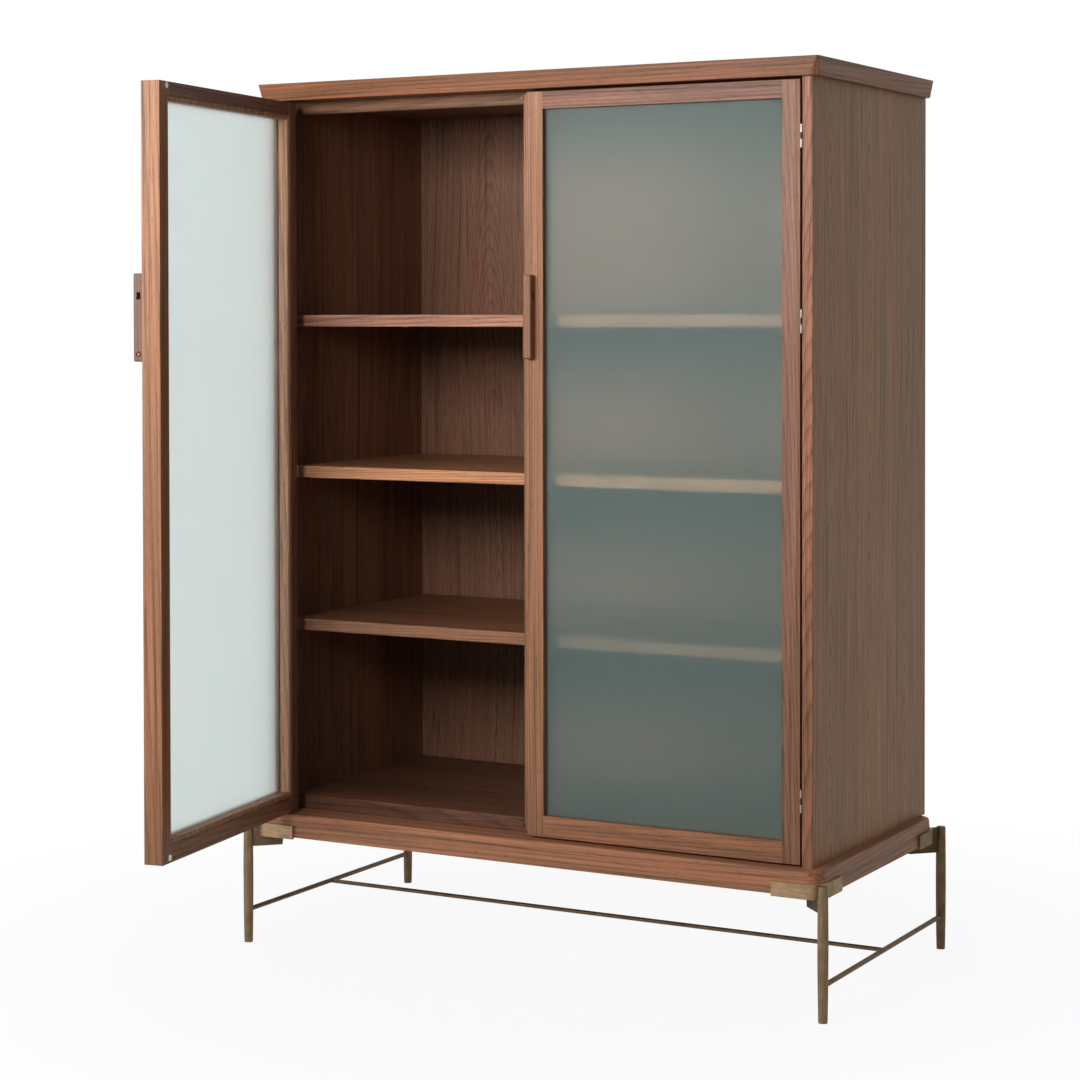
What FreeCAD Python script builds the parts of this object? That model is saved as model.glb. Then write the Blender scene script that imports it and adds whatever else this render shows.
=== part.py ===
import FreeCAD, Part
import math
import os

# Two-door walnut cabinet with frosted glass doors on a slim metal stand.
# Millimetres; +X right, -Y front, +Z up; origin on the floor at the plan centre of the carcass.

# Carcass
carcass_width = 1000.0
carcass_depth = 490.0
carcass_height = 1212.0
side_thickness = 18.0
side_bevel_width = 5.0
side_bevel_depth = 1.5
head_rail_height = 21.0
head_rail_depth = 24.0
bottom_thickness = 24.0
back_thickness = 12.0
back_inset = 12.0
back_groove_depth = 6.0
back_groove_play = 0.5
panel_edge_round = 1.5

# Shelves, heights measured from the bottom panel's upper face to the shelf's upper face
shelf_thickness = 20.0
shelf_setback = 1.0
shelf_side_play = 1.0
shelf_back_play = 2.0
lower_shelf_height = 303.0
middle_shelf_height = 565.5
upper_shelf_height = 824.5
pin_hole_inset = 60.0
shelf_pin_diameter = 5.0
shelf_pin_depth = 8.0
shelf_pin_reach = 8.0
shelf_pin_play = 0.15

# Top
top_thickness = 29.0
top_overhang = 14.5
top_undercut = 2.5
top_corner_round = 3.0
top_corner_round_below = 14.0
top_edging_width = 45.0

# Base frame, flaring outward towards the floor
base_clearance = 186.0
base_height = 39.0
base_overhang = 19.0
base_flare = 3.4
base_back_inset = 11.5
base_corner_round = 24.0
base_rail_width = 58.0
base_edge_round = 3.0

# Metal stand
bracket_thickness = 5.0
bracket_height = 23.0
bracket_drop = 3.0
bracket_stand_out = 1.4
bracket_length = 84.0
leg_rise = 1.5
leg_top_diameter = 15.4
leg_belly_diameter = 16.9
leg_foot_diameter = 14.4
leg_belly_height = 100.0
leg_edge_round = 1.6
leg_stand_off = 10.5
gusset_thickness = 5.0
gusset_reach = 63.0
gusset_slant = 4.0
gusset_drop = 22.0
side_rod_diameter = 8.0
long_rod_diameter = 7.0
rod_height = 55.5
long_rod_drop = 1.5
bolt_diameter = 6.0
bolt_head_diameter = 11.0
bolt_head_height = 4.0
bolt_inset = 11.0
bolt_bite = 3.0
bolt_hole_play = 0.3

# Doors
door_thickness = 32.0
door_top_gap = 4.5
door_bottom_gap = 4.0
hinge_gap = 3.0
meeting_gap = 2.0
stile_width = 30.0
top_rail_width = 28.0
bottom_rail_width = 34.0
frame_edge_round = 1.0
tenon_length = 18.0
tenon_thickness = 9.0
tenon_height = 13.0
tenon_play = 0.1
strip_thickness = 4.0
strip_overlap = 22.5
strip_seat = 17.0
strip_relief = 0.5
strip_gap = 0.5
strip_edge_round = 1.0
left_door_open_degrees = 81.5

# Glazing
glass_thickness = 5.0
glass_setback = 9.0
glass_lip = 6.0
glass_play = 2.0
bead_width = 7.0
bead_recess = 1.0
bead_chamfer = 2.0
brad_diameter = 1.8
brad_length = 6.0
brad_proud = 0.2
brad_pitch = 92.0
brad_inset = 8.0
brad_hole_play = 0.05

# Handles
handle_width = 15.0
handle_projection = 15.5
handle_length = 135.5
handle_centre_height = 841.0
handle_edge_offset = 0.8
handle_round = 3.0
slot_height = 11.0
slot_width = 6.8
slot_from_top = 29.0
slot_from_door = 2.6
stud_diameter = 9.0
stud_depth = 3.0
stud_proud = 0.5
stud_from_bottom = 11.5
stud_from_door = 6.2
stud_groove_outer_diameter = 8.0
stud_groove_inner_diameter = 4.8
stud_groove_depth = 1.0
stud_hole_play = 0.05

# Catches
magnet_diameter = 10.0
magnet_depth = 3.0
magnet_from_edge = 24.0
magnet_dimple_diameter = 4.0
magnet_dimple_depth = 1.2
magnet_hole_play = 0.05
keeper_diameter = 4.0
keeper_depth = 10.0
keeper_hole_play = 0.05
catch_gap = 0.3

# Hinges
hinge_height = 36.0
hinge_leaf_depth = 19.0
hinge_leaf_setback = 3.0
hinge_leaf_thickness = 1.6
hinge_axis_forward = 0.5
knuckle_diameter = 2.2
middle_knuckle_height = 10.0
knuckle_end_gap = 0.4
knuckle_web_depth = 8.0
hinge_pin_diameter = 1.0
hinge_pin_play = 0.05
upper_hinge_from_top = 86.5
hinge_upper_spacing = 283.0
lower_hinge_from_bottom = 98.5

# Extra length of every cutting solid beyond the faces it cuts
overrun = 10.0

# Share of full alignment above which an edge counts as running in a direction
parallel_share = 0.999
# Share of the radius at which an arc's middle lies from its centre along each axis
arc_share = math.sqrt(2) / 2

# Levels and lines that follow from the sizes above
half_width = carcass_width / 2
inner_half_width = half_width - side_thickness
front = -carcass_depth / 2
rear = carcass_depth / 2
back_front = rear - back_inset - back_thickness
base_bottom = base_clearance
carcass_bottom = base_bottom + base_height
carcass_top = carcass_bottom + carcass_height
bottom_face = carcass_bottom + bottom_thickness
head_rail_bottom = carcass_top - head_rail_height
door_inner = front + door_thickness
strip_rear = door_inner + strip_thickness
panel_front = strip_rear + strip_gap
shelf_front = panel_front + shelf_setback
door_bottom = carcass_bottom + door_bottom_gap
door_top = carcass_top - door_top_gap
door_free = meeting_gap / 2
door_hinge = inner_half_width - hinge_gap
hinge_x = inner_half_width - hinge_gap / 2
hinge_y = front - hinge_axis_forward
hinge_centres = [
    door_top - upper_hinge_from_top,
    door_top - upper_hinge_from_top - hinge_upper_spacing,
    door_bottom + lower_hinge_from_bottom,
]

UP = FreeCAD.Vector(0, 0, 1)
BACKWARD = FreeCAD.Vector(0, 1, 0)
RIGHT = FreeCAD.Vector(1, 0, 0)
ORIGIN = FreeCAD.Vector(0, 0, 0)

os.makedirs("parts", exist_ok=True)


def point(x, y, z):
    return FreeCAD.Vector(x, y, z)


def block(x0, x1, y0, y1, z0, z1):
    return Part.makeBox(x1 - x0, y1 - y0, z1 - z0, point(x0, y0, z0))


def rod(diameter, start, end):
    way = end - start
    return Part.makeCylinder(diameter / 2, way.Length, start, way)


def prism(corners, z0, z1):
    outline = [point(x, y, z0) for x, y in corners]
    wire = Part.makePolygon(outline + outline[:1])
    return Part.Face(wire).extrude(UP * (z1 - z0))


def mirrored(shape):
    return shape.mirror(ORIGIN, RIGHT)


def save(name, *solids):
    shape = solids[0] if len(solids) == 1 else Part.makeCompound(list(solids))
    shape.exportStep("parts/" + name + ".step")


def long_edges(shape, direction, keep):
    chosen = []
    for edge in shape.Edges:
        if not isinstance(edge.Curve, Part.Line):
            continue
        along = abs(edge.tangentAt(edge.FirstParameter).dot(direction))
        if along > parallel_share and keep(edge.CenterOfMass):
            chosen.append(edge)
    return chosen


def rounded_outline(x0, x1, y0, y1, radius, z):
    edges = []
    corners = [(x1, y0, 1, -1), (x1, y1, 1, 1), (x0, y1, -1, 1), (x0, y0, -1, -1)]
    ends = []
    for index, (x, y, sx, sy) in enumerate(corners):
        centre = point(x - sx * radius, y - sy * radius, z)
        on_x = centre + RIGHT * (sx * radius)
        on_y = centre + BACKWARD * (sy * radius)
        middle = centre + (RIGHT * sx + BACKWARD * sy) * (radius * arc_share)
        first, last = (on_y, on_x) if index in (0, 2) else (on_x, on_y)
        ends.append((first, middle, last))
    for index, (first, middle, last) in enumerate(ends):
        edges.append(Part.Arc(first, middle, last).toShape())
        following = ends[(index + 1) % len(ends)][0]
        edges.append(Part.makeLine(last, following))
    return Part.Wire(edges)


# Top: a slab leaning in towards its underside, cut into a panel and three mitred edgings
top_top = carcass_top + top_thickness
upper_reach = half_width + top_overhang
lower_reach = upper_reach - top_undercut
top_front = front - top_overhang
top_below = rounded_outline(-lower_reach, lower_reach, top_front + top_undercut, rear,
                            top_corner_round_below, carcass_top)
top_above = rounded_outline(-upper_reach, upper_reach, top_front, rear, top_corner_round, top_top)
top_slab = Part.makeLoft([top_below, top_above], True, True)
core_reach = upper_reach - top_edging_width
core_front = top_front + top_edging_width
mitre_reach = top_edging_width + overrun
panel_zone = block(-core_reach, core_reach, core_front, rear + overrun, carcass_top, top_top)
front_zone = prism([
    (-core_reach - mitre_reach, core_front - mitre_reach),
    (core_reach + mitre_reach, core_front - mitre_reach),
    (core_reach, core_front),
    (-core_reach, core_front),
], carcass_top, top_top)
side_zone = prism([
    (core_reach, core_front),
    (core_reach + mitre_reach, core_front - mitre_reach),
    (core_reach + mitre_reach, rear + overrun),
    (core_reach, rear + overrun),
], carcass_top, top_top)
right_edging = top_slab.common(side_zone)
save("top_panel", top_slab.common(panel_zone))
save("top_front_edging", top_slab.common(front_zone))
save("top_right_edging", right_edging)
save("top_left_edging", mirrored(right_edging))

# Shelf pins: plain pins, each half in a side panel and half under a shelf
shelf_levels = {
    "lower_shelf": bottom_face + lower_shelf_height,
    "middle_shelf": bottom_face + middle_shelf_height,
    "upper_shelf": bottom_face + upper_shelf_height,
}
shelf_back = back_front - shelf_back_play
pin_rows = [shelf_front + pin_hole_inset, shelf_back - pin_hole_inset]
shelf_pins = []
pin_holes = []
for level in shelf_levels.values():
    pin_level = level - shelf_thickness - shelf_pin_play - shelf_pin_diameter / 2
    for row in pin_rows:
        inner_end = point(inner_half_width - shelf_pin_reach, row, pin_level)
        outer_end = point(inner_half_width + shelf_pin_depth, row, pin_level)
        pin = rod(shelf_pin_diameter, inner_end, outer_end)
        shelf_pins.append(pin)
        shelf_pins.append(mirrored(pin))
        pin_holes.append(rod(shelf_pin_diameter + shelf_pin_play * 2, inner_end, outer_end))
save("shelf_pins", *shelf_pins)

# Shelves with softened front edges
for name, level in shelf_levels.items():
    reach = inner_half_width - shelf_side_play
    shelf = block(-reach, reach, shelf_front, shelf_back, level - shelf_thickness, level)
    front_edges = long_edges(shelf, RIGHT, lambda c: c.y < shelf_front + panel_edge_round)
    save(name, shelf.makeFillet(panel_edge_round, front_edges))

# Hinges: slim knuckles in the gap beside the door, each on a web that runs back to a let-in leaf
# The frame leaf has the two outer knuckles, the door leaf the middle one, and a pin joins them.
frame_leaves = []
door_leaves = []
hinge_pins = []
frame_mortises = []
door_mortises = []


def on_axis(diameter, z0, z1):
    return rod(diameter, point(hinge_x, hinge_y, z0), point(hinge_x, hinge_y, z1))


def knuckle(wood_face, z0, z1):
    sides = sorted([wood_face, hinge_x])
    web = block(sides[0], sides[1], hinge_y, front + knuckle_web_depth, z0, z1)
    return on_axis(knuckle_diameter, z0, z1).fuse(web)


for centre in hinge_centres:
    low = centre - hinge_height / 2
    high = centre + hinge_height / 2
    middle_low = centre - middle_knuckle_height / 2
    middle_high = centre + middle_knuckle_height / 2
    outer_low = middle_low - knuckle_end_gap
    outer_high = middle_high + knuckle_end_gap
    leaf_front = front + hinge_leaf_setback
    leaf_rear = leaf_front + hinge_leaf_depth
    frame_seat = inner_half_width + hinge_leaf_thickness
    door_seat = door_hinge - hinge_leaf_thickness
    frame_plate = block(inner_half_width, frame_seat, leaf_front, leaf_rear, low, high)
    door_plate = block(door_seat, door_hinge, leaf_front, leaf_rear, low, high)
    bore = on_axis(hinge_pin_diameter + hinge_pin_play * 2, low, high)
    lower_knuckle = knuckle(inner_half_width, low, outer_low)
    upper_knuckle = knuckle(inner_half_width, outer_high, high)
    frame_leaf = frame_plate.fuse([lower_knuckle, upper_knuckle])
    door_leaf = door_plate.fuse(knuckle(door_hinge, middle_low, middle_high))
    frame_leaves.append(frame_leaf.cut(bore).removeSplitter())
    door_leaves.append(door_leaf.cut(bore).removeSplitter())
    hinge_pins.append(on_axis(hinge_pin_diameter, low, high))
    frame_mortises.append(frame_plate)
    door_mortises.append(door_plate)
save("hinge_frame_leaves", *frame_leaves, *[mirrored(leaf) for leaf in frame_leaves])
save("hinge_pins", *hinge_pins, *[mirrored(pin) for pin in hinge_pins])

# Side panels: inner front edge bevelled, outer front edge eased, grooved for the back
side_panel = prism([
    (inner_half_width, front + side_bevel_depth),
    (inner_half_width + side_bevel_width, front),
    (half_width, front),
    (half_width, rear),
    (inner_half_width, rear),
], carcass_bottom, carcass_top)
outer_front_edge = long_edges(side_panel, UP, lambda c: c.x > half_width - panel_edge_round and c.y < 0)
side_panel = side_panel.makeFillet(panel_edge_round, outer_front_edge)
groove_bottom = inner_half_width + back_groove_depth
back_groove = block(inner_half_width - overrun, groove_bottom, back_front, back_front + back_thickness,
                    carcass_bottom - overrun, carcass_top + overrun)
right_side_panel = side_panel.cut([back_groove] + pin_holes + frame_mortises)
save("right_side_panel", right_side_panel)
save("left_side_panel", mirrored(right_side_panel))

# Back panel standing in the grooves
back_reach = groove_bottom - back_groove_play
save("back_panel", block(-back_reach, back_reach, back_front, back_front + back_thickness,
                         carcass_bottom, carcass_top))

# Catches: a magnet let flush into each end of a meeting stile faces a keeper stud in the carcass
catch_x = door_free + magnet_from_edge
catch_levels = [carcass_bottom + bottom_thickness / 2, carcass_top - head_rail_height / 2]
keepers = []
keeper_holes = []
magnets = []
magnet_holes = []
for level in catch_levels:
    keeper_end = point(catch_x, panel_front + keeper_depth, level)
    keeper = rod(keeper_diameter, point(catch_x, door_inner + catch_gap, level), keeper_end)
    keeper_hole_start = point(catch_x, panel_front - overrun, level)
    keeper_hole = rod(keeper_diameter + keeper_hole_play * 2, keeper_hole_start, keeper_end)
    keepers += [keeper, mirrored(keeper)]
    keeper_holes += [keeper_hole, mirrored(keeper_hole)]
    magnet_end = point(catch_x, door_inner - magnet_depth, level)
    magnet = rod(magnet_diameter, magnet_end, point(catch_x, door_inner, level))
    dimple_tip = point(catch_x, door_inner - magnet_dimple_depth, level)
    dimple = Part.makeCone(0, magnet_dimple_diameter / 2, magnet_dimple_depth, dimple_tip, BACKWARD)
    magnets.append(magnet.cut(dimple))
    magnet_hole_start = point(catch_x, door_inner + overrun, level)
    magnet_holes.append(rod(magnet_diameter + magnet_hole_play * 2, magnet_hole_start, magnet_end))
save("catch_keepers", *keepers)

# Head rail under the top and bottom panel, both between the sides, with softened front edges
crosspieces = {
    "head_rail": (panel_front + head_rail_depth, head_rail_bottom, carcass_top),
    "bottom_panel": (back_front, carcass_bottom, bottom_face),
}
for name, (rear_face, z0, z1) in crosspieces.items():
    panel = block(-inner_half_width, inner_half_width, panel_front, rear_face, z0, z1)
    front_edges = long_edges(panel, RIGHT, lambda c: c.y < panel_front + panel_edge_round)
    save(name, panel.makeFillet(panel_edge_round, front_edges).cut(keeper_holes))

# Corner brackets: a strip bent round each corner of the base frame, let into the flared wood
base_reach = half_width + base_overhang
base_front = front - base_overhang
base_rear = rear - base_back_inset
bracket_top = base_bottom - bracket_drop + bracket_height
bracket_bottom = base_bottom - bracket_drop
bracket_out = bracket_stand_out + bracket_thickness


def base_outline(growth, z):
    return rounded_outline(-base_reach - growth, base_reach + growth, base_front - growth, base_rear + growth,
                           base_corner_round + growth, z)


def base_block(growth, z0, z1):
    return Part.Face(base_outline(growth, z0)).extrude(UP * (z1 - z0))


bracket_ring = base_block(bracket_out, bracket_bottom, bracket_top)
bracket_ring = bracket_ring.cut(base_block(bracket_stand_out, bracket_bottom, bracket_top))
bracket_end_x = base_reach + bracket_out - bracket_length
bracket_front_end = base_front - bracket_out + bracket_length
bracket_rear_end = base_rear + bracket_out - bracket_length
front_right_zone = block(bracket_end_x, base_reach + bracket_out + overrun,
                         base_front - bracket_out - overrun, bracket_front_end, bracket_bottom, bracket_top)
rear_right_zone = block(bracket_end_x, base_reach + bracket_out + overrun,
                        bracket_rear_end, base_rear + bracket_out + overrun, bracket_bottom, bracket_top)
front_bracket = bracket_ring.common(front_right_zone)
rear_bracket = bracket_ring.common(rear_right_zone)

# Base frame: flared slab with rounded upper edge, opened in the middle, mitred into four rails
base_outlines = [base_outline(base_flare, base_bottom), base_outline(0, carcass_bottom)]
base_slab = Part.makeLoft(base_outlines, True, True)
upper_edges = [edge for edge in base_slab.Edges if edge.BoundBox.ZMin > carcass_bottom - base_edge_round]
base_slab = base_slab.makeFillet(base_edge_round, upper_edges)
well_reach = base_reach - base_rail_width
well_front = base_front + base_rail_width
well_rear = base_rear - base_rail_width
base_mitre = base_rail_width + base_flare + overrun
base_levels = (base_bottom - overrun, carcass_bottom + overrun)
front_rail_zone = prism([
    (-well_reach - base_mitre, well_front - base_mitre),
    (well_reach + base_mitre, well_front - base_mitre),
    (well_reach, well_front),
    (-well_reach, well_front),
], *base_levels)
rear_rail_zone = prism([
    (-well_reach, well_rear),
    (well_reach, well_rear),
    (well_reach + base_mitre, well_rear + base_mitre),
    (-well_reach - base_mitre, well_rear + base_mitre),
], *base_levels)
side_rail_zone = prism([
    (well_reach, well_front),
    (well_reach + base_mitre, well_front - base_mitre),
    (well_reach + base_mitre, well_rear + base_mitre),
    (well_reach, well_rear),
], *base_levels)

# Bracket bolts: driven from inside the base frame into the bracket plates
bolt_level = (base_bottom + bracket_top) / 2
bolt_x = bracket_end_x + bolt_inset
front_bite = base_front - bracket_stand_out - bolt_bite
rear_bite = base_rear + bracket_stand_out + bolt_bite
side_bite = base_reach + bracket_stand_out + bolt_bite
bolt_lines = [
    (point(bolt_x, well_front, bolt_level), point(bolt_x, front_bite, bolt_level)),
    (point(bolt_x, well_rear, bolt_level), point(bolt_x, rear_bite, bolt_level)),
    (point(well_reach, bracket_front_end - bolt_inset, bolt_level),
     point(side_bite, bracket_front_end - bolt_inset, bolt_level)),
    (point(well_reach, bracket_rear_end + bolt_inset, bolt_level),
     point(side_bite, bracket_rear_end + bolt_inset, bolt_level)),
]
bolts = []
bolt_holes = []
for seat, tip in bolt_lines:
    way = (tip - seat).normalize()
    shank = rod(bolt_diameter, seat, tip)
    head = rod(bolt_head_diameter, seat - way * bolt_head_height, seat)
    bolt = shank.fuse(head).removeSplitter()
    hole = rod(bolt_diameter + bolt_hole_play * 2, seat - way * overrun, tip)
    bolts += [bolt, mirrored(bolt)]
    bolt_holes += [hole, mirrored(hole)]
save("bracket_bolts", *bolts)

front_bracket = front_bracket.cut(bolt_holes)
rear_bracket = rear_bracket.cut(bolt_holes)
rail_cuts = [front_bracket, rear_bracket, mirrored(front_bracket), mirrored(rear_bracket)] + bolt_holes
right_rail = base_slab.common(side_rail_zone).cut(rail_cuts)
front_rail = base_slab.common(front_rail_zone).cut(rail_cuts)
rear_rail = base_slab.common(rear_rail_zone).cut(rail_cuts)
save("base_front_rail", front_rail)
save("base_rear_rail", rear_rail)
save("base_right_rail", right_rail)
save("base_left_rail", mirrored(right_rail))
save("front_right_bracket", front_bracket)
save("front_left_bracket", mirrored(front_bracket))
save("rear_right_bracket", rear_bracket)
save("rear_left_bracket", mirrored(rear_bracket))

# Legs: turned, with a slight belly low down and an eased top edge
corner_reach = base_corner_round + bracket_out + leg_stand_off + leg_top_diameter / 2
leg_offset = corner_reach / math.sqrt(2) - base_corner_round
leg_x = base_reach + leg_offset
front_leg_y = base_front - leg_offset
rear_leg_y = base_rear + leg_offset
foot_edge = point(leg_foot_diameter / 2, 0, 0)
belly = point(leg_belly_diameter / 2, 0, leg_belly_height)
leg_top = bracket_top + leg_rise
crown_edge = point(leg_top_diameter / 2, 0, leg_top - leg_edge_round)
crown_flat = point(leg_top_diameter / 2 - leg_edge_round, 0, leg_top)
crown_centre = point(0, 0, leg_top)
crown_middle = point(crown_flat.x + leg_edge_round * arc_share, 0, crown_edge.z + leg_edge_round * arc_share)
leg_profile = Part.Wire([
    Part.makeLine(ORIGIN, foot_edge),
    Part.Arc(foot_edge, belly, crown_edge).toShape(),
    Part.Arc(crown_edge, crown_middle, crown_flat).toShape(),
    Part.makeLine(crown_flat, crown_centre),
    Part.makeLine(crown_centre, ORIGIN),
])
leg = Part.Face(leg_profile).revolve(ORIGIN, UP, 360)
front_leg = leg.translated(point(leg_x, front_leg_y, 0))
rear_leg = leg.translated(point(leg_x, rear_leg_y, 0))
save("front_right_leg", front_leg)
save("front_left_leg", mirrored(front_leg))
save("rear_right_leg", rear_leg)
save("rear_left_leg", mirrored(rear_leg))

# Gussets: upright plates on the diagonal from each leg, notched round the bracket, under the base
gusset_top = bracket_top
gusset_bottom = base_bottom - gusset_drop
gusset_profile = Part.makePolygon([
    point(0, -gusset_thickness / 2, gusset_bottom),
    point(gusset_reach - gusset_slant, -gusset_thickness / 2, gusset_bottom),
    point(gusset_reach, -gusset_thickness / 2, gusset_top),
    point(0, -gusset_thickness / 2, gusset_top),
    point(0, -gusset_thickness / 2, gusset_bottom),
])
gusset = Part.Face(gusset_profile).extrude(BACKWARD * gusset_thickness)
front_gusset = gusset.rotated(ORIGIN, UP, 135).translated(point(leg_x, front_leg_y, 0))
rear_gusset = gusset.rotated(ORIGIN, UP, -135).translated(point(leg_x, rear_leg_y, 0))
wood_above = base_block(bracket_stand_out, base_bottom, carcass_bottom)
front_gusset = front_gusset.cut([front_leg, front_bracket, wood_above])
rear_gusset = rear_gusset.cut([rear_leg, rear_bracket, wood_above])
save("front_right_gusset", front_gusset)
save("front_left_gusset", mirrored(front_gusset))
save("rear_right_gusset", rear_gusset)
save("rear_left_gusset", mirrored(rear_gusset))

# Stretcher rods: one on each side between the legs, one long rod between those two
side_rod = rod(side_rod_diameter, point(leg_x, front_leg_y, rod_height), point(leg_x, rear_leg_y, rod_height))
right_rod = side_rod.cut([front_leg, rear_leg])
rod_middle = (front_leg_y + rear_leg_y) / 2
long_rod_height = rod_height - long_rod_drop
long_rod = rod(long_rod_diameter, point(-leg_x, rod_middle, long_rod_height),
               point(leg_x, rod_middle, long_rod_height))
save("right_stretcher", right_rod)
save("left_stretcher", mirrored(right_rod))
save("long_stretcher", long_rod.cut([right_rod, mirrored(right_rod)]))

# Doors, drawn closed on the right-hand side; the left door is the mirror image, swung open
left_axis = point(-hinge_x, hinge_y, 0)


def save_pair(name, *solids):
    save("right_" + name, *solids)
    opened = [mirrored(solid).rotated(left_axis, UP, -left_door_open_degrees) for solid in solids]
    save("left_" + name, *opened)


# Door frame: full-height stiles, tenoned rails, and a rebate for the glass on the inner side
opening_free = door_free + stile_width
opening_hinge = door_hinge - stile_width
opening_bottom = door_bottom + bottom_rail_width
opening_top = door_top - top_rail_width
rebate_front = front + glass_setback
rebate = block(opening_free - glass_lip, opening_hinge + glass_lip, rebate_front, door_inner + overrun,
               opening_bottom - glass_lip, opening_top + glass_lip)
free_stile = block(door_free, opening_free, front, door_inner, door_bottom, door_top)
hinge_stile = block(opening_hinge, door_hinge, front, door_inner, door_bottom, door_top)
top_rail = block(opening_free, opening_hinge, front, door_inner, opening_top, door_top)
bottom_rail = block(opening_free, opening_hinge, front, door_inner, door_bottom, opening_bottom)


def tenon(z0, z1, play):
    middle_y = front + door_thickness / 2
    middle_z = (z0 + z1) / 2
    half_y = tenon_thickness / 2 + play
    half_z = tenon_height / 2 + play
    reach = tenon_length + play
    return block(opening_free - reach, opening_hinge + reach, middle_y - half_y, middle_y + half_y,
                 middle_z - half_z, middle_z + half_z)


top_tenon_zone = (opening_top + glass_lip, door_top)
bottom_tenon_zone = (door_bottom, opening_bottom - glass_lip)
mortises = [tenon(*top_tenon_zone, tenon_play), tenon(*bottom_tenon_zone, tenon_play)]
free_edges = long_edges(free_stile, UP, lambda c: c.x < door_free + frame_edge_round)
free_stile = free_stile.makeFillet(frame_edge_round, free_edges)
save_pair("door_meeting_stile", free_stile.cut([rebate] + mortises + magnet_holes))
save_pair("door_hinge_stile", hinge_stile.cut([rebate] + mortises + door_mortises))
save_pair("door_top_rail", top_rail.cut(rebate).fuse(tenon(*top_tenon_zone, 0)).removeSplitter())
save_pair("door_bottom_rail", bottom_rail.cut(rebate).fuse(tenon(*bottom_tenon_zone, 0)).removeSplitter())

# Closing strip: fixed to the right door's inner face, reaching behind the left door's meeting stile
strip_free = door_free - strip_overlap
strip = block(strip_free, door_free + strip_seat, door_inner, strip_rear, door_bottom, door_top)
strip_edges = long_edges(strip, UP, lambda c: c.y > strip_rear - strip_edge_round)
strip = strip.makeFillet(strip_edge_round, strip_edges)
save("right_door_closing_strip", strip.cut(block(strip_free - overrun, door_free, door_inner - overrun,
                                                 door_inner + strip_relief, door_bottom - overrun,
                                                 door_top + overrun)))

# Glass pane and the four mitred beads that hold it, with a chamfer towards the glass
pane_rear = rebate_front + glass_thickness
save_pair("door_glass", block(opening_free - glass_lip + glass_play, opening_hinge + glass_lip - glass_play,
                              rebate_front, pane_rear,
                              opening_bottom - glass_lip + glass_play, opening_top + glass_lip - glass_play))


def bead_rectangle(inset, y):
    x0 = opening_free - glass_lip + inset
    x1 = opening_hinge + glass_lip - inset
    z0 = opening_bottom - glass_lip + inset
    z1 = opening_top + glass_lip - inset
    corners = [point(x0, y, z0), point(x1, y, z0), point(x1, y, z1), point(x0, y, z1)]
    return Part.makePolygon(corners + corners[:1])


bead_face = door_inner - bead_recess
bead_body = Part.Face(bead_rectangle(0, pane_rear)).extrude(BACKWARD * (bead_face - pane_rear))
bead_window = Part.Face(bead_rectangle(bead_width, pane_rear)).extrude(BACKWARD * (bead_face - pane_rear))
bead_splay = Part.makeLoft([bead_rectangle(bead_width, bead_face - bead_chamfer),
                            bead_rectangle(bead_width - bead_chamfer, bead_face)], True, True)
bead_ring = bead_body.cut([bead_window, bead_splay])
bead_left = opening_free - glass_lip
bead_right = opening_hinge + glass_lip
bead_low = opening_bottom - glass_lip
bead_high = opening_top + glass_lip
window_left = bead_left + bead_width
window_right = bead_right - bead_width
window_low = bead_low + bead_width
window_high = bead_high - bead_width


def bead_zone(corners):
    outline = [point(x, front, z) for x, z in corners]
    return Part.Face(Part.makePolygon(outline + outline[:1])).extrude(BACKWARD * door_thickness)


free_low, free_high = (bead_left, bead_low), (bead_left, bead_high)
hinge_low, hinge_high = (bead_right, bead_low), (bead_right, bead_high)
window_free_low, window_free_high = (window_left, window_low), (window_left, window_high)
window_hinge_low, window_hinge_high = (window_right, window_low), (window_right, window_high)
bead_zones = [
    bead_zone([free_low, window_free_low, window_free_high, free_high]),
    bead_zone([hinge_low, hinge_high, window_hinge_high, window_hinge_low]),
    bead_zone([free_high, window_free_high, window_hinge_high, hinge_high]),
    bead_zone([free_low, hinge_low, window_hinge_low, window_free_low]),
]

# Brads: evenly spaced along each bead, driven outwards from the side that looks across the pane
brad_y = bead_face - brad_inset
brad_spots = []
brad_count_up = int((bead_high - bead_low) / brad_pitch)
brad_count_across = int((bead_right - bead_left) / brad_pitch)
for index in range(brad_count_up):
    level = (bead_high + bead_low) / 2 + (index - (brad_count_up - 1) / 2) * brad_pitch
    brad_spots.append((point(window_left, brad_y, level), -RIGHT))
    brad_spots.append((point(window_right, brad_y, level), RIGHT))
for index in range(brad_count_across):
    across = (bead_left + bead_right) / 2 + (index - (brad_count_across - 1) / 2) * brad_pitch
    brad_spots.append((point(across, brad_y, window_low), -UP))
    brad_spots.append((point(across, brad_y, window_high), UP))
brads = [rod(brad_diameter, spot + way * brad_length, spot - way * brad_proud) for spot, way in brad_spots]
brad_holes = [rod(brad_diameter + brad_hole_play * 2, spot + way * brad_length, spot - way * overrun)
              for spot, way in brad_spots]
drilled_ring = bead_ring.cut(brad_holes)
save_pair("door_beads", *[drilled_ring.common(zone).Solids[0] for zone in bead_zones])
save_pair("door_bead_brads", *brads)

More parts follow.
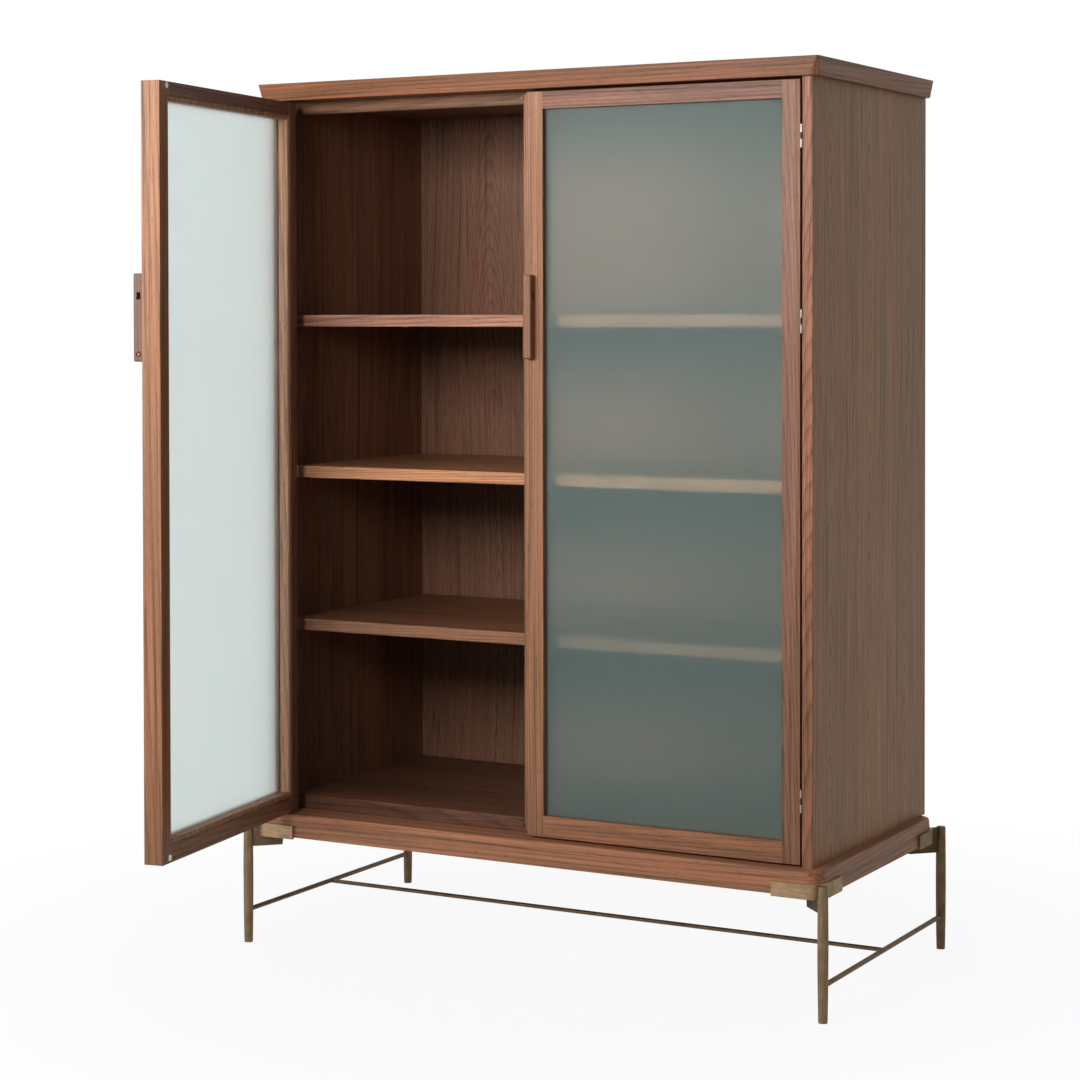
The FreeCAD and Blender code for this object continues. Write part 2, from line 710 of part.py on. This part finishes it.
# Pull handle: upright bar with rounded edges, a slot through its sides, and a stud let in below
handle_middle = door_bottom + handle_centre_height
handle_bottom = handle_middle - handle_length / 2
handle_top = handle_middle + handle_length / 2
handle_free = door_free + handle_edge_offset
handle_front = front - handle_projection
handle = block(handle_free, handle_free + handle_width, handle_front, front, handle_bottom, handle_top)
outer_edges = [edge for edge in handle.Edges if edge.CenterOfMass.y < front]
handle = handle.makeFillet(handle_round, outer_edges)
slot_rear = front - slot_from_door
slot_top = handle_top - slot_from_top
handle_slot = block(handle_free - overrun, handle_free + handle_width + overrun,
                    slot_rear - slot_width, slot_rear, slot_top - slot_height, slot_top)
stud_y = front - stud_from_door
stud_z = handle_bottom + stud_from_bottom


def stud_disc(diameter, x0, x1):
    return rod(diameter, point(x0, stud_y, stud_z), point(x1, stud_y, stud_z))


stud_face = handle_free - stud_proud
stud_groove_floor = stud_face + stud_groove_depth
stud_groove = stud_disc(stud_groove_outer_diameter, stud_face, stud_groove_floor)
stud_groove = stud_groove.cut(stud_disc(stud_groove_inner_diameter, stud_face, stud_groove_floor))
stud = stud_disc(stud_diameter, stud_face, handle_free + stud_depth).cut(stud_groove)
stud_hole = stud_disc(stud_diameter + stud_hole_play * 2, handle_free - overrun, handle_free + stud_depth)
save_pair("door_handle", handle.cut([handle_slot, stud_hole]))
save_pair("door_handle_stud", stud)

# Catch magnets and hinge leaves carried by the doors
save_pair("door_catch_magnets", *magnets)
save_pair("door_hinge_leaves", *door_leaves)
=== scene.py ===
import math

import bpy
from mathutils import Matrix, Vector


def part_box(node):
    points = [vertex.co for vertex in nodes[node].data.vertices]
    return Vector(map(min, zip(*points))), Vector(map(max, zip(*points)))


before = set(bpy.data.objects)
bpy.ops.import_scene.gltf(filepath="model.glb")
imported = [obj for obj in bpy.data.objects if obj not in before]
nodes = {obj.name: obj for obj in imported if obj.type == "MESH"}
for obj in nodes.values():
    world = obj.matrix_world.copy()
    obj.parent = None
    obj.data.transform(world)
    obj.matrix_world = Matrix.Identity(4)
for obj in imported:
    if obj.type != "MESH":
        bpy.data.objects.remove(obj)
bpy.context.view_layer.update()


# Side panels: the two upright boards that carry the whole cabinet, board core with walnut veneer on both faces.
# The veneer runs up the board in leaves laid side by side, and the front edge has a small bevel inside.
def linear(code, level=1.0):
    parts = [int(code[i:i + 2], 16) / 255 for i in (1, 3, 5)]
    parts = [c / 12.92 if c <= 0.04045 else ((c + 0.055) / 1.055) ** 2.4 for c in parts]
    return (*[c * level for c in parts], 1.0)


def add_node(tree, kind, links=(), stops=(), **settings):
    node = tree.nodes.new("ShaderNode" + kind)
    for name, value in settings.items():
        setattr(node, name, value)
    for socket, value in dict(links).items():
        if isinstance(value, bpy.types.NodeSocket):
            tree.links.new(value, node.inputs[socket])
        else:
            node.inputs[socket].default_value = value
    for index, (position, colour) in enumerate(stops):
        if index < 2:
            stop = node.color_ramp.elements[index]
            stop.position = position
        else:
            stop = node.color_ramp.elements.new(position)
        stop.color = colour
    return node


def new_material(name):
    material = bpy.data.materials.new(name)
    material.use_nodes = True
    material.node_tree.nodes.clear()
    return material, material.node_tree


def dress(node_name, material):
    nodes[node_name].material_slots[0].material = material


# Ways the grain lies: up, up a board that stands front to back, across, across a flat board, and front to back.
UPRIGHT = (0.0, 0.0, 0.0)
UPRIGHT_DEEP = (0.0, 0.0, math.radians(90))
ACROSS = (0.0, math.radians(90), 0.0)
ACROSS_FLAT = (math.radians(90), 0.0, math.radians(90))
DEEP = (math.radians(90), 0.0, 0.0)


# Oiled walnut, sanded and hand oiled: dark growth lines and brown streaks that run with the board, broad bands
# that lean to red or to grey, short open pores, a satin sheen, and edges lightened partly by handling and partly as
# a painted highlight.
# The growth lines are cut from a log whose heart lies at "heart" from the board's middle and leans by "slope".
# Veneer is laid in leaves side by side, and each leaf repeats the figure at another height.
# A veneered board or a shelf has a lipping of solid wood on its front edge, cut from another plank.
# Lines and pores are drawn about three times as wide as real ones, which are too fine to show in the render.
def oiled_walnut(node_name, lie, wood, heart=(0.05, 0.04), slope=0.03, leaf_mm=0.0, lipping=None, figure=1.0):
    ring_mm, line_mm, sway_mm = (5.5, 5.5, 50.0) if leaf_mm else (4.6, 4.2, 15.0)
    line_run_mm, fibre_mm, fibre_run_mm = 1600.0, 2.6, 280.0
    band_mm, band_run_mm, band_share = (26.0, 800.0, 0.2) if leaf_mm else (12.0, 420.0, 0.6)
    pore_mm, pore_run_mm, eased_edge_mm, lipping_mm = 1.4, 18.0, 0.8, 3.0
    leaf_start, leaf_slip_mm, sways_per_m, ragged_share = 0.37, 900.0, (2.6, 2.6, 1.2), 0.6
    material, tree = new_material("oiled_walnut_" + node_name)
    low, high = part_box(node_name)
    place = add_node(tree, "TexCoord").outputs["Object"]
    board = add_node(tree, "Mapping", {"Vector": place, "Location": (low + high) / 2, "Rotation": lie},
                     vector_type="TEXTURE").outputs["Vector"]
    leaf_tone = 0.5
    if leaf_mm:
        ways = add_node(tree, "SeparateXYZ", {0: board})
        count = add_node(tree, "Math", {0: ways.outputs["X"], 1: 1000.0 / leaf_mm, 2: leaf_start},
                         operation="MULTIPLY_ADD").outputs[0]
        leaf = add_node(tree, "Math", {0: count}, operation="FLOOR").outputs[0]
        leaf_tone = add_node(tree, "TexWhiteNoise", {"W": leaf}, noise_dimensions="1D").outputs["Value"]
        inside = add_node(tree, "Math", {0: count}, operation="FRACT").outputs[0]
        inside = add_node(tree, "MapRange", {"Value": inside, "To Min": -leaf_mm / 2000,
                                             "To Max": leaf_mm / 2000}).outputs[0]
        slip = add_node(tree, "Math", {0: leaf, 1: leaf_slip_mm / 1000, 2: ways.outputs["Z"]},
                        operation="MULTIPLY_ADD").outputs[0]
        board = add_node(tree, "CombineXYZ", {"X": inside, "Y": ways.outputs["Y"], "Z": slip}).outputs[0]

    sway_at = add_node(tree, "VectorMath", {0: board, 1: sways_per_m}, operation="MULTIPLY").outputs[0]
    sway = add_node(tree, "TexNoise", {"Vector": sway_at, "Scale": 1.0, "Detail": 0.0}).outputs["Color"]
    sway = add_node(tree, "VectorMath", {0: sway, 1: (sway_mm / 1000, sway_mm / 1000, 0.0), 2: (*heart, 0.0)},
                    operation="MULTIPLY_ADD").outputs[0]
    bent = add_node(tree, "VectorMath", {0: board, 1: sway}, operation="ADD").outputs[0]
    radius = add_node(tree, "VectorMath", {0: bent, 1: (1.0, 1.0, 0.0)}, operation="MULTIPLY").outputs[0]
    reach = add_node(tree, "VectorMath", {0: radius}, operation="LENGTH").outputs["Value"]
    lean = add_node(tree, "VectorMath", {0: bent, 1: (0.0, 0.0, slope)}, operation="DOT_PRODUCT").outputs["Value"]
    reach = add_node(tree, "Math", {0: reach, 1: lean}, operation="ADD").outputs[0]

    fibre_at = add_node(tree, "VectorMath", {0: bent, 1: (1000 / fibre_mm, 1000 / fibre_mm, 1000 / fibre_run_mm)},
                        operation="MULTIPLY").outputs[0]
    fibre = add_node(tree, "TexNoise", {"Vector": fibre_at, "Scale": 1.0, "Detail": 2.0, "Roughness": 0.6}
                     ).outputs["Fac"]
    ragged = add_node(tree, "Math", {0: fibre, 1: ragged_share}, operation="MULTIPLY").outputs[0]
    ring = add_node(tree, "Math", {0: reach, 1: 1000.0 / ring_mm, 2: ragged}, operation="MULTIPLY_ADD").outputs[0]
    ring = add_node(tree, "Math", {0: ring}, operation="FRACT").outputs[0]
    ring = add_node(tree, "ValToRGB", {"Fac": ring}, stops=(
        (0.0, (0.1, 0.1, 0.1, 1)), (0.12, (0.72, 0.72, 0.72, 1)), (0.68, (0.62, 0.62, 0.62, 1)),
        (0.93, (0.06, 0.06, 0.06, 1)))).outputs["Color"]
    line_at = add_node(tree, "VectorMath", {0: bent, 1: (1000 / line_mm, 1000 / line_mm, 1000 / line_run_mm)},
                       operation="MULTIPLY").outputs[0]
    line = add_node(tree, "TexNoise", {"Vector": line_at, "Scale": 1.0, "Detail": 2.0}).outputs["Fac"]
    line = add_node(tree, "ValToRGB", {"Fac": line}, stops=(
        (0.32, (0.1, 0.1, 0.1, 1)), (0.42, (0.52, 0.52, 0.52, 1)), (0.58, (0.64, 0.64, 0.64, 1)),
        (0.72, (0.85, 0.85, 0.85, 1)))).outputs["Color"]
    band_at = add_node(tree, "VectorMath", {0: bent, 1: (1000 / band_mm, 1000 / band_mm, 1000 / band_run_mm)},
                       operation="MULTIPLY").outputs[0]
    band = add_node(tree, "TexNoise", {"Vector": band_at, "Scale": 1.0, "Detail": 3.0}).outputs["Fac"]
    pore_at = add_node(tree, "VectorMath", {0: bent, 1: (1000 / pore_mm, 1000 / pore_mm, 1000 / pore_run_mm)},
                       operation="MULTIPLY").outputs[0]
    pore = add_node(tree, "TexNoise", {"Vector": pore_at, "Scale": 1.0, "Detail": 1.0}).outputs["Fac"]
    pore = add_node(tree, "MapRange", {"Value": pore, "From Min": 0.30, "From Max": 0.42}).outputs[0]

    middle = 0.5 - (0.99 + band_share / 2) * figure
    light = add_node(tree, "Math", {0: ring, 1: 0.4 * figure, 2: middle}, operation="MULTIPLY_ADD").outputs[0]
    for part, weight in ((line, 0.62), (fibre, 0.65), (band, band_share), (leaf_tone, 0.2)):
        light = add_node(tree, "Math", {0: part, 1: weight * figure, 2: light},
                         operation="MULTIPLY_ADD").outputs[0]
    board_tone = linear(wood)
    wood = add_node(tree, "ValToRGB", {"Fac": light}, stops=(
        (0.0, linear(wood, 0.34)), (0.3, linear(wood, 0.70)), (0.5, board_tone),
        (0.7, linear(wood, 1.32)), (1.0, linear(wood, 1.75)))).outputs["Color"]
    if lipping:
        depth = add_node(tree, "SeparateXYZ", {0: place}).outputs["Y"]
        edge = add_node(tree, "MapRange", {"Value": depth, "From Min": low.y + lipping_mm / 1000,
                                           "From Max": low.y + lipping_mm / 1000 - 0.0002}).outputs[0]
        lift = [a / b for a, b in zip(linear(lipping), board_tone[:3])]
        solid = add_node(tree, "VectorMath", {0: wood, 1: lift}, operation="MULTIPLY").outputs[0]
        wood = add_node(tree, "Mix", {"Factor": edge, 6: wood, 7: solid}, data_type="RGBA").outputs[2]
    tint = add_node(tree, "ValToRGB", {"Fac": band}, stops=(
        (0.36, (0.95, 1.0, 0.97, 1)), (0.64, (1.04, 0.98, 0.95, 1)))).outputs["Color"]
    wood = add_node(tree, "VectorMath", {0: wood, 1: tint}, operation="MULTIPLY").outputs[0]
    pore_shade = add_node(tree, "MapRange", {"Value": pore, "To Min": 0.72, "To Max": 1.0}).outputs[0]
    wood = add_node(tree, "VectorMath", {0: wood, "Scale": pore_shade}, operation="SCALE").outputs[0]

    # Edges are lightened along the eased arris: partly wear from handling, partly a painted highlight.
    flat = add_node(tree, "NewGeometry").outputs["Normal"]
    eased = add_node(tree, "Bevel", {"Radius": eased_edge_mm / 1000}, samples=4).outputs[0]
    level = add_node(tree, "VectorMath", {0: flat, 1: eased}, operation="DOT_PRODUCT").outputs["Value"]
    wear_and_highlight = add_node(tree, "MapRange", {"Value": level, "From Min": 0.98, "From Max": 0.75, "To Min": 1.0,
                                       "To Max": 1.18}).outputs[0]
    wood = add_node(tree, "VectorMath", {0: wood, "Scale": wear_and_highlight}, operation="SCALE").outputs[0]

    sheen = add_node(tree, "MapRange", {"Value": fibre, "From Min": 0.3, "From Max": 0.7, "To Min": 0.56,
                                        "To Max": 0.44}).outputs[0]
    relief = add_node(tree, "Math", {0: pore, 1: fibre}, operation="ADD").outputs[0]
    bump = add_node(tree, "Bump", {"Height": relief, "Strength": 0.25, "Distance": 0.0003, "Normal": eased}
                    ).outputs[0]
    surface = add_node(tree, "BsdfPrincipled", {"Base Color": wood, "Roughness": sheen, "Normal": bump, "IOR": 1.5,
                                                "Specular IOR Level": 0.25}).outputs[0]
    add_node(tree, "OutputMaterial", {"Surface": surface})
    dress(node_name, material)


oiled_walnut("left_side_panel", UPRIGHT_DEEP, "#845A43", (0.105, 0.005), slope=0.02, leaf_mm=115.0,
             lipping="#99664B")
# The right panel is painted lighter than the left, as painted light on its outer face, which the lamps leave in
# shade.
oiled_walnut("right_side_panel", UPRIGHT_DEEP, "#A1734D", (0.005, -0.005), slope=0.09, leaf_mm=160.0,
             lipping="#99664B", figure=0.95)

# Back panel: a thin board, veneered in walnut, let into grooves of the sides.
# Its leaves stand upright like those of the sides, with more figure.
oiled_walnut("back_panel", UPRIGHT, "#845C48", (-0.005, -0.005), slope=0.12, leaf_mm=165.0, figure=0.8)

# Bottom panel and head rail: a board dowelled between the sides, and a solid rail under the front of the top.
# Their grain runs across the cabinet, and both meet the doors.
oiled_walnut("bottom_panel", ACROSS_FLAT, "#684432", (0.075, 0.005), leaf_mm=150.0)
oiled_walnut("head_rail", ACROSS, "#634028", (0.02, 0.12))

# Top: a veneered panel with solid walnut edgings on the front and sides, mitred at the front corners.
# The edgings overhang the sides and are cut back below.
oiled_walnut("top_panel", ACROSS_FLAT, "#8A5F47", (-0.005, -0.005), slope=0.12, leaf_mm=210.0)
oiled_walnut("top_front_edging", ACROSS, "#774728", (0.05, 0.09), slope=0.008)
oiled_walnut("top_left_edging", DEEP, "#8A5F47", (0.06, 0.08))
oiled_walnut("top_right_edging", DEEP, "#916447", (0.07, 0.05))

# Shelves: three loose boards of walnut with solid lippings on their front edges.
# Each lies on four pins, and the grain runs across the cabinet.
oiled_walnut("lower_shelf", ACROSS, "#7C523A", (0.04, 0.18), lipping="#8C5F46")
oiled_walnut("middle_shelf", ACROSS, "#9A6B4A", (0.07, 0.21), lipping="#B8805C")
oiled_walnut("upper_shelf", ACROSS, "#926550", (0.02, 0.16), lipping="#9D6D57")

# Base frame: four rails of solid walnut under the carcass, glued in mitres at the rounded corners.
# They are shaped to flare a little towards the floor and are cut out for the brackets of the stand.
# The front rail is painted lighter than the other rails, as painted light on the front low down where the lamps
# fall off.
oiled_walnut("base_front_rail", ACROSS, "#A06C4F", (0.06, 0.11), slope=0.01)
oiled_walnut("base_rear_rail", ACROSS, "#885C43", (0.05, 0.12), slope=0.01)
oiled_walnut("base_left_rail", DEEP, "#885C43", (0.05, 0.10))
oiled_walnut("base_right_rail", DEEP, "#966848", (0.08, 0.07))


# Stand: turned legs with a slight belly, bent corner brackets let into the base frame, plates and rods between.
# All are bronze, brazed together and held to the base by bolts that don't show.
# Patinated bronze, brushed along its length and waxed: a warm brown metal with soft, broken highlights.
# The brush marks are given by their length along X, Y and Z, and are drawn wider than real ones so that they show.
def patinated_bronze(name, marks_mm, level=1.0):
    cloud_mm = 22.0
    material, tree = new_material("patinated_bronze_" + name)
    place = add_node(tree, "TexCoord").outputs["Object"]
    stretched = add_node(tree, "VectorMath", {0: place, 1: [1000 / mark for mark in marks_mm]},
                         operation="MULTIPLY").outputs[0]
    brush = add_node(tree, "TexNoise", {"Vector": stretched, "Scale": 1.0, "Detail": 3.0}).outputs["Fac"]
    cloud = add_node(tree, "TexNoise", {"Vector": place, "Scale": 1000 / cloud_mm, "Detail": 4.0}).outputs["Fac"]
    both = add_node(tree, "Math", {0: brush, 1: cloud}, operation="ADD").outputs[0]
    patina = add_node(tree, "MapRange", {"Value": both, "From Max": 2.0}).outputs[0]
    # level scales the colour of the piece as painted light or painted shade.
    colour = add_node(tree, "ValToRGB", {"Fac": patina}, stops=(
        (0.3, linear("#5C4A35", level)), (0.5, linear("#715D46", level)), (0.72, linear("#867158", level))
        )).outputs["Color"]
    rough = add_node(tree, "MapRange", {"Value": brush, "To Min": 0.36, "To Max": 0.54}).outputs[0]
    bump = add_node(tree, "Bump", {"Height": brush, "Strength": 0.08, "Distance": 0.0002}).outputs[0]
    surface = add_node(tree, "BsdfPrincipled", {"Base Color": colour, "Metallic": 0.4, "Roughness": rough,
                                                "Normal": bump, "Specular IOR Level": 0.25,
                                                "Specular Tint": linear("#A8A29A")}).outputs[0]
    add_node(tree, "OutputMaterial", {"Surface": surface})
    return material


# The colour is scaled piece by piece as painted light and shade: the front legs and brackets are painted lighter
# where the lamps fall off low down, the rear pair darker as painted shade under the cabinet, and the right plates
# darker too.
for row, painted_leg_light, painted_bracket_light in (("front", 1.4, 2.2), ("rear", 0.95, 1.4)):
    bronze_leg = patinated_bronze(row + "_leg", (1.2, 1.2, 40.0), painted_leg_light)
    bronze_bracket = patinated_bronze(row + "_bracket", (40.0, 40.0, 1.2), painted_bracket_light)
    for side, painted_gusset_light in (("left", 1.1), ("right", 0.5)):
        bronze_gusset = patinated_bronze(row + "_" + side + "_gusset", (40.0, 40.0, 1.2), painted_gusset_light)
        dress(row + "_" + side + "_leg", bronze_leg)
        dress(row + "_" + side + "_bracket", bronze_bracket)
        dress(row + "_" + side + "_gusset", bronze_gusset)
bronze_deep = patinated_bronze("deep", (2.5, 40.0, 2.5))
dress("left_stretcher", bronze_deep)
dress("right_stretcher", bronze_deep)
dress("long_stretcher", patinated_bronze("across", (40.0, 2.5, 2.5)))


# Fittings of the carcass: bolts through the brackets, pins under the shelves, keepers for the door magnets,
# and the fixed leaves and pins of the six hinges. Steel, turned or pressed, then plated.
# Satin nickel plate: a pale, slightly warm grey with fine rubbing marks. The zinc of the bolts is cooler.
def plated_metal(name, code, roughness):
    rub_mm = 1.1
    material, tree = new_material(name)
    place = add_node(tree, "TexCoord").outputs["Object"]
    rub = add_node(tree, "TexNoise", {"Vector": place, "Scale": 1000 / rub_mm, "Detail": 3.0}).outputs["Fac"]
    colour = add_node(tree, "ValToRGB", {"Fac": rub}, stops=(
        (0.3, linear(code, 0.78)), (0.7, linear(code)))).outputs["Color"]
    rough = add_node(tree, "MapRange", {"Value": rub, "To Min": roughness - 0.08, "To Max": roughness + 0.08}
                     ).outputs[0]
    surface = add_node(tree, "BsdfPrincipled", {"Base Color": colour, "Metallic": 1.0, "Roughness": rough}
                       ).outputs[0]
    add_node(tree, "OutputMaterial", {"Surface": surface})
    return material


nickel = plated_metal("satin_nickel_plate", "#A09990", 0.38)
for name in ("hinge_frame_leaves", "hinge_pins", "shelf_pins"):
    dress(name, nickel)
dress("bracket_bolts", plated_metal("zinc_plated_steel", "#9A9CA0", 0.4))


# Doors: two frames of solid walnut, stiles and rails tenoned together, each turning on three hinges.
# The left door stands open at rest, so its grain is laid along boards that are swung by the same angle.
# Satin nickel plate on the door leaves, painted a dull near-black grey as shade: it stands in for the shadow in the
# hinge gap.
swing = math.radians(-81.5)
painted_shade_nickel = plated_metal("painted_shade_nickel_plate", "#4A4640", 0.45)
for side, turn in (("left", swing), ("right", 0.0)):
    upright = (0.0, 0.0, turn)
    across = (0.0, math.radians(90), turn)
    oiled_walnut(side + "_door_meeting_stile", upright, "#94664A", (0.07, 0.03), slope=0.012)
    oiled_walnut(side + "_door_hinge_stile", upright, "#845A47", (0.012, 0.03), slope=0.035)
    oiled_walnut(side + "_door_top_rail", across, "#76503F", (0.05, 0.06), slope=0.012)
    # The bottom rails are painted lighter, as painted light low on the doors where the lamps fall off.
    oiled_walnut(side + "_door_bottom_rail", across, "#916348", (0.02, 0.04), slope=0.03)
    dress(side + "_door_hinge_leaves", painted_shade_nickel)

# Closing strip: a thin lath of solid walnut, glued to the back of the right door's meeting stile.
# It laps behind the left door and closes the gap between the two.
oiled_walnut("right_door_closing_strip", UPRIGHT, "#85593F", (0.05, 0.06), slope=0.01)

# Panes: one sheet of glass in a rebate of each door, laid in from behind.
# Acid etched glass: grey-green, lets light through and blurs what stands behind it, with a faint bloom.
bloom_mm, grain_mm = 60.0, 1.5
glass, tree = new_material("acid_etched_glass")
place = add_node(tree, "TexCoord").outputs["Object"]
bloom = add_node(tree, "TexNoise", {"Vector": place, "Scale": 1000 / bloom_mm, "Detail": 2.0}).outputs["Fac"]
grain = add_node(tree, "TexNoise", {"Vector": place, "Scale": 1000 / grain_mm, "Detail": 2.0}).outputs["Fac"]
body = add_node(tree, "ValToRGB", {"Fac": bloom}, stops=(
    (0.35, linear("#EFF8F6")), (0.65, linear("#F1F9F7")))).outputs["Color"]
etched = add_node(tree, "MapRange", {"Value": grain, "To Min": 0.48, "To Max": 0.56}).outputs[0]
bump = add_node(tree, "Bump", {"Height": grain, "Strength": 0.03, "Distance": 0.0002}).outputs[0]
surface = add_node(tree, "BsdfPrincipled", {"Base Color": body, "Roughness": etched, "Normal": bump, "IOR": 1.15,
                                            "Transmission Weight": 0.955, "Sheen Weight": 0.21,
                                            "Sheen Roughness": 1.0, "Sheen Tint": linear("#88C5C0")}).outputs[0]
add_node(tree, "OutputMaterial", {"Surface": surface})
dress("left_door_glass", glass)
dress("right_door_glass", glass)

# Beads and brads: four mitred walnut beads hold each pane from behind, pinned with small brads.
# Darkened brass, drawn and browned: a dull brown-gold dot, on the brads and on the keepers of the catches.
darkened_brass = plated_metal("darkened_brass", "#5E4A32", 0.42)
dress("catch_keepers", darkened_brass)
# The beads are painted lighter than the frames, as painted light that stands in for light coming through the panes.
for side, turn in (("left", swing), ("right", 0.0)):
    oiled_walnut(side + "_door_beads", (0.0, 0.0, turn), "#B88A6E", (0.06, 0.05), slope=0.02)
    dress(side + "_door_bead_brads", darkened_brass)

# Pulls: a slim upright block on each meeting stile with a slot through it, and a round stud below.
# The block is walnut, shaped and oiled, and the left one is drawn darker and greyer.
# Turned copper: a warm pink boss, a groove drawn near-black, and a dull rim with fine tool rings.
for side, turn, wood in (("left", swing, "#6E5246"), ("right", 0.0, "#84583F")):
    oiled_walnut(side + "_door_handle", (0.0, 0.0, turn), wood, (0.05, 0.04), slope=0.01)
    ring_mm, rim_mm = 0.35, 4.5
    copper, tree = new_material("turned_copper_" + side)
    low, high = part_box(side + "_door_handle_stud")
    place = add_node(tree, "TexCoord").outputs["Object"]
    disc = add_node(tree, "Mapping", {"Vector": place, "Location": (low + high) / 2, "Rotation": (0.0, 0.0, turn)},
                    vector_type="TEXTURE").outputs[0]
    disc = add_node(tree, "VectorMath", {0: disc, 1: (0.0, 1.0, 1.0)}, operation="MULTIPLY").outputs[0]
    reach = add_node(tree, "VectorMath", {0: disc}, operation="LENGTH").outputs["Value"]
    share = add_node(tree, "Math", {0: reach, 1: 1000 / rim_mm}, operation="MULTIPLY").outputs[0]
    colour = add_node(tree, "ValToRGB", {"Fac": share}, stops=(
        (0.0, linear("#8F5A4B")), (0.48, linear("#845042")), (0.56, linear("#321812")), (0.84, linear("#321812")),
        (0.92, linear("#5A3427")))).outputs["Color"]
    count = add_node(tree, "Math", {0: reach, 1: 1000 / ring_mm}, operation="MULTIPLY").outputs[0]
    rings = add_node(tree, "TexNoise", {"W": count, "Scale": 1.0, "Detail": 1.0},
                     noise_dimensions="1D").outputs["Fac"]
    rough = add_node(tree, "MapRange", {"Value": rings, "To Min": 0.3, "To Max": 0.5}).outputs[0]
    bump = add_node(tree, "Bump", {"Height": rings, "Strength": 0.2, "Distance": 0.0001}).outputs[0]
    surface = add_node(tree, "BsdfPrincipled", {"Base Color": colour, "Metallic": 0.8, "Roughness": rough,
                                                "Normal": bump}).outputs[0]
    add_node(tree, "OutputMaterial", {"Surface": surface})
    dress(side + "_door_handle_stud", copper)

# Catch magnets: round plated magnets let flush into the backs of the doors, with a dimple in the middle.
# Nickel plate, barrelled bright: paler and smoother than the hinges.
magnet_plate = plated_metal("barrelled_nickel_plate", "#C8C4BC", 0.28)
dress("left_door_catch_magnets", magnet_plate)
dress("right_door_catch_magnets", magnet_plate)


# Floor: a plain white studio floor, painted matt, that keeps a faint shadow near the object.
# The paint glows white to the eye, in reflections and through glass, less so close to the object.
def seen_by_eye(tree):
    path = add_node(tree, "LightPath")
    seen = add_node(tree, "Math", {0: path.outputs["Is Camera Ray"], 1: path.outputs["Is Glossy Ray"]},
                    operation="MAXIMUM").outputs[0]
    seen = add_node(tree, "Math", {0: seen, 1: path.outputs["Is Transmission Ray"]}, operation="MAXIMUM").outputs[0]
    return add_node(tree, "Math", {0: seen, 1: path.outputs["Diffuse Depth"]}, operation="SUBTRACT",
                    use_clamp=True).outputs[0]


bpy.ops.mesh.primitive_plane_add(size=14)
floor = bpy.context.object
floor.name = "floor"
white, tree = new_material("matt_white_floor_paint")
seen = seen_by_eye(tree)
place = add_node(tree, "TexCoord").outputs["Object"]
away = add_node(tree, "VectorMath", {0: place}, operation="LENGTH").outputs["Value"]
clear = add_node(tree, "MapRange", {"Value": away, "From Min": 0.45, "From Max": 1.5, "To Min": 0.93,
                                    "To Max": 1.0}, interpolation_type="SMOOTHSTEP").outputs[0]
share = add_node(tree, "Math", {0: seen, 1: clear}, operation="MULTIPLY").outputs[0]
paint = add_node(tree, "BsdfDiffuse", {"Color": linear("#BEBEBE")}).outputs[0]
glow = add_node(tree, "Emission", {"Color": (1, 1, 1, 1), "Strength": 1.0}).outputs[0]
mixed = add_node(tree, "MixShader", {0: share, 1: paint, 2: glow}).outputs[0]
add_node(tree, "OutputMaterial", {"Surface": mixed})
floor.data.materials.append(white)

# Studio: a white room that fills the shade a little, one soft box in front, to the left and above the doors,
# weak ones low on the left for the base and on the right for the side panel, and one behind for the back,
# which is kept out of reflections so that it leaves no glint on the stand.
world = bpy.data.worlds.new("white_studio")
bpy.context.scene.world = world
world.use_nodes = True
tree = world.node_tree
tree.nodes.clear()
seen = seen_by_eye(tree)
strength = add_node(tree, "MapRange", {"Value": seen, "To Min": 0.14, "To Max": 1.0}).outputs[0]
room = add_node(tree, "Background", {"Color": (1, 1, 1, 1), "Strength": strength}).outputs[0]
add_node(tree, "OutputWorld", {"Surface": room})
for name, width, height, watts, spread, place, aim in (
        ("key_soft_box", 1.7, 0.8, 50, 127, (-0.42, -2.7, 1.66), (-0.3, -0.25, 2.0)),
        ("low_soft_box", 1.2, 0.6, 12.5, 150, (-2.6, -2.2, 0.5), (0.0, -0.3, 0.4)),
        ("side_soft_box", 1.6, 1.6, 4.0, 150, (3.0, 0.7, 1.2), (0.5, 0.0, 0.85)),
        ("rear_soft_box", 1.0, 1.2, 20, 120, (-0.2, 3.2, 1.2), (-0.1, 0.25, 0.85))):
    soft_box = bpy.data.lights.new(name, "AREA")
    soft_box.shape = "RECTANGLE"
    soft_box.size = width
    soft_box.size_y = height
    soft_box.energy = watts
    soft_box.spread = math.radians(spread)
    lamp = bpy.data.objects.new(name, soft_box)
    bpy.context.scene.collection.objects.link(lamp)
    lamp.location = place
    lamp.rotation_euler = (Vector(aim) - Vector(place)).to_track_quat("-Z", "Y").to_euler()
    lamp.visible_camera = False
    lamp.visible_glossy = name != "rear_soft_box"

# Camera: placed and framed as the photograph was taken, from the right at about three quarters of the height.
# The view is shifted downwards, as the photograph's framing needs.
yaw, pitch, roll = math.radians(28.786), math.radians(1.1175), math.radians(-0.0862)
level_forward = Vector((-math.sin(yaw), math.cos(yaw), 0.0))
level_right = Vector((math.cos(yaw), math.sin(yaw), 0.0))
up = Vector((0.0, 0.0, 1.0))
forward = level_forward * math.cos(pitch) - up * math.sin(pitch)
raised = up * math.cos(pitch) + level_forward * math.sin(pitch)
right = level_right * math.cos(roll) + raised * math.sin(roll)
above = raised * math.cos(roll) - level_right * math.sin(roll)
lens = bpy.data.cameras.new("photo_camera")
lens.sensor_width = 36.0
lens.lens = 85.45
lens.shift_y = -0.1638
camera = bpy.data.objects.new("photo_camera", lens)
bpy.context.scene.collection.objects.link(camera)
turned = Matrix((right, above, -forward)).transposed().to_4x4()
camera.matrix_world = Matrix.Translation((2.0157, -3.8666, 1.0760)) @ turned
bpy.context.scene.camera = camera
bpy.context.scene.view_settings.view_transform = "Standard"
